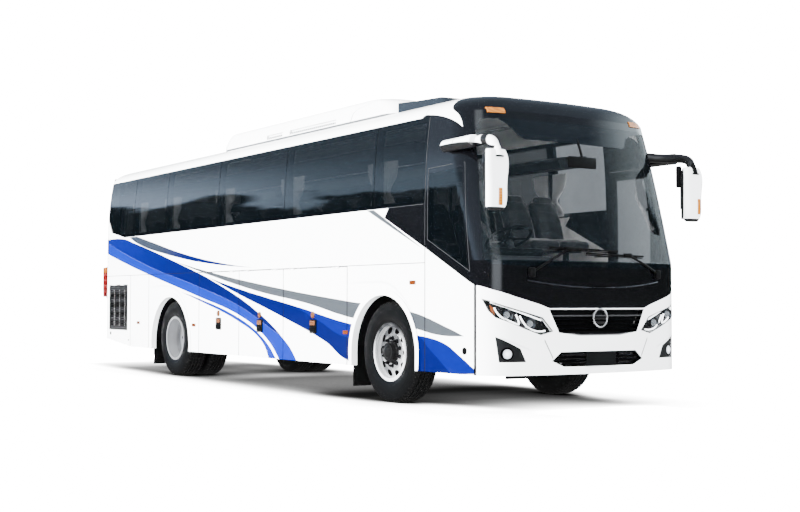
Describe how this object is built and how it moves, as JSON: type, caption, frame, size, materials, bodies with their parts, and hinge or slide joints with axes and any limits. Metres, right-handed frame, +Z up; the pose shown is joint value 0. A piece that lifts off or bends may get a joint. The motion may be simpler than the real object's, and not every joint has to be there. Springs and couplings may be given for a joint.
{
  "type": "coach bus",
  "caption": "Mid-size touring coach with raised saloon, large leaning windshield, side luggage flaps, plug door, roof air conditioner and twin rear wheels.",
  "frame": {"origin": "middle of the coach's length and width, on the ground", "axes": "+X towards the coach's front, +Y to its left side, +Z up"},
  "size_m": [10.0748, 2.8526, 3.2599],
  "materials": {
    "white_paint": "gloss",
    "gloss_black": "high gloss",
    "tinted_glass": "dark tint",
    "screen_glass": "light tint",
    "red_lens": "gloss",
    "clear_lens": "clear",
    "amber_lens": "gloss",
    "chrome": "polished",
    "plate": "satin",
    "black_plastic": "matte",
    "dash_plastic": "matte",
    "chassis_steel": "satin",
    "floor": "matte",
    "rubber": "matte",
    "tyre": "matte",
    "cast": "rough",
    "alloy": "machined",
    "wheel_steel": "satin",
    "seat_fabric": "woven",
    "curtain_fabric": "woven"
  },
  "bodies": {
    "coach_body": {"body_side_right": "white_paint", "body_side_left": "white_paint", "front_bumper": "white_paint", "front_mask": "gloss_black", "roof_shell": "white_paint", "roof_unit": "white_paint", "roof_fairing": "tinted_glass", "rear_panel": "white_paint", "rear_bumper": "white_paint", "rear_window": "tinted_glass", "side_glass": "tinted_glass", "windshield": "screen_glass", "window_pillars": "gloss_black", "tail_lamps": "red_lens", "headlamps": "clear_lens", "fog_lamps": "clear_lens", "front_grille": "chrome", "side_lamps": "amber_lens", "number_plates": "plate", "mirrors": "white_paint", "wipers": "black_plastic", "chassis_frame": "chassis_steel", "towing_lugs": "chassis_steel", "floor_deck": "floor", "luggage_bays": "chassis_steel", "arch_liners": "black_plastic", "front_axle": "chassis_steel", "rear_axle": "chassis_steel", "air_springs": "rubber", "driveline": "cast", "dashboard": "dash_plastic", "driver_seat": "seat_fabric", "passenger_seats": "seat_fabric", "luggage_racks": "dash_plastic", "curtains": "curtain_fabric"},
    "knuckle_right": {"knuckle_right": "cast"},
    "knuckle_left": {"knuckle_left": "cast"},
    "steering_wheel": {"steering_wheel": "black_plastic"},
    "wheel_front_right": {"tyre_front_right": "tyre", "rim_front_right": "alloy"},
    "wheel_front_left": {"tyre_front_left": "tyre", "rim_front_left": "alloy"},
    "wheels_rear_right": {"tyres_rear_right": "tyre", "rims_rear_right": "wheel_steel"},
    "wheels_rear_left": {"tyres_rear_left": "tyre", "rims_rear_left": "wheel_steel"},
    "engine_lid": {"engine_lid": "white_paint"},
    "door_arm": {"door_arm": "chassis_steel"},
    "door_leaf": {"door_leaf": "gloss_black", "door_glass": "tinted_glass"},
    "luggage_flap_rear_right": {"luggage_flap_rear_right": "white_paint"},
    "luggage_flap_mid_right": {"luggage_flap_mid_right": "white_paint"},
    "luggage_flap_front_right": {"luggage_flap_front_right": "white_paint"},
    "engine_side_door_right": {"engine_side_door_right": "white_paint"},
    "luggage_flap_rear_left": {"luggage_flap_rear_left": "white_paint"},
    "luggage_flap_mid_left": {"luggage_flap_mid_left": "white_paint"},
    "luggage_flap_front_left": {"luggage_flap_front_left": "white_paint"},
    "engine_side_door_left": {"engine_side_door_left": "white_paint"}
  },
  "joints": [
    {"name": "steer_right", "type": "hinge", "parent": "coach_body", "child": "knuckle_right", "pos_m": [3.076, -0.905, 0.515], "axis": [0, 0, 1], "range_deg": [-38, 38]},
    {"name": "steer_left", "type": "hinge", "parent": "coach_body", "child": "knuckle_left", "pos_m": [3.076, 0.905, 0.515], "axis": [0, 0, 1], "range_deg": [-38, 38]},
    {"name": "steering_wheel_turn", "type": "hinge", "parent": "coach_body", "child": "steering_wheel", "pos_m": [4.341, -0.64, 1.64], "axis": [-0.4695, 0, 0.8829], "range_deg": [-684, 684]},
    {"name": "wheel_front_right_spin", "type": "hinge", "parent": "knuckle_right", "child": "wheel_front_right", "pos_m": [3.076, -1.045, 0.515], "axis": [0, 1, 0], "continuous": true},
    {"name": "wheel_front_left_spin", "type": "hinge", "parent": "knuckle_left", "child": "wheel_front_left", "pos_m": [3.076, 1.045, 0.515], "axis": [0, 1, 0], "continuous": true},
    {"name": "wheels_rear_right_spin", "type": "hinge", "parent": "coach_body", "child": "wheels_rear_right", "pos_m": [-2.342, -1.045, 0.515], "axis": [0, 1, 0], "continuous": true},
    {"name": "wheels_rear_left_spin", "type": "hinge", "parent": "coach_body", "child": "wheels_rear_left", "pos_m": [-2.342, 1.045, 0.515], "axis": [0, 1, 0], "continuous": true},
    {"name": "luggage_flap_rear_right_lift", "type": "hinge", "parent": "coach_body", "child": "luggage_flap_rear_right", "pos_m": [-0.814, -1.253, 1.403], "axis": [-1, 0, 0], "range_deg": [0, 95]},
    {"name": "luggage_flap_mid_right_lift", "type": "hinge", "parent": "coach_body", "child": "luggage_flap_mid_right", "pos_m": [0.351, -1.253, 1.403], "axis": [-1, 0, 0], "range_deg": [0, 95]},
    {"name": "luggage_flap_front_right_lift", "type": "hinge", "parent": "coach_body", "child": "luggage_flap_front_right", "pos_m": [1.641, -1.253, 1.403], "axis": [-1, 0, 0], "range_deg": [0, 95]},
    {"name": "engine_side_door_right_lift", "type": "hinge", "parent": "coach_body", "child": "engine_side_door_right", "pos_m": [-4.317, -1.253, 1.27], "axis": [-1, 0, 0], "range_deg": [0, 85]},
    {"name": "luggage_flap_rear_left_lift", "type": "hinge", "parent": "coach_body", "child": "luggage_flap_rear_left", "pos_m": [-0.814, 1.253, 1.403], "axis": [1, 0, 0], "range_deg": [0, 95]},
    {"name": "luggage_flap_mid_left_lift", "type": "hinge", "parent": "coach_body", "child": "luggage_flap_mid_left", "pos_m": [0.351, 1.253, 1.403], "axis": [1, 0, 0], "range_deg": [0, 95]},
    {"name": "luggage_flap_front_left_lift", "type": "hinge", "parent": "coach_body", "child": "luggage_flap_front_left", "pos_m": [1.641, 1.253, 1.403], "axis": [1, 0, 0], "range_deg": [0, 95]},
    {"name": "engine_side_door_left_lift", "type": "hinge", "parent": "coach_body", "child": "engine_side_door_left", "pos_m": [-4.317, 1.253, 1.27], "axis": [1, 0, 0], "range_deg": [0, 85]},
    {"name": "engine_lid_lift", "type": "hinge", "parent": "coach_body", "child": "engine_lid", "pos_m": [-5.027, 0, 1.605], "axis": [0, 1, 0], "range_deg": [0, 80]},
    {"name": "door_arm_swing", "type": "hinge", "parent": "coach_body", "child": "door_arm", "pos_m": [4.481, 1.14, 1.2], "axis": [0, 0, -1], "range_deg": [0, 120]},
    {"name": "door_leaf_turn", "type": "hinge", "parent": "door_arm", "child": "door_leaf", "pos_m": [3.981, 1.085, 0.96], "axis": [0, 0, 1], "range_deg": [0, 120]}
  ],
  "couplings": [
    {"joint": "steer_left", "follows": "steer_right", "ratio": 1},
    {"joint": "steering_wheel_turn", "follows": "steer_right", "ratio": 18},
    {"joint": "door_leaf_turn", "follows": "door_arm_swing", "ratio": 1}
  ]
}
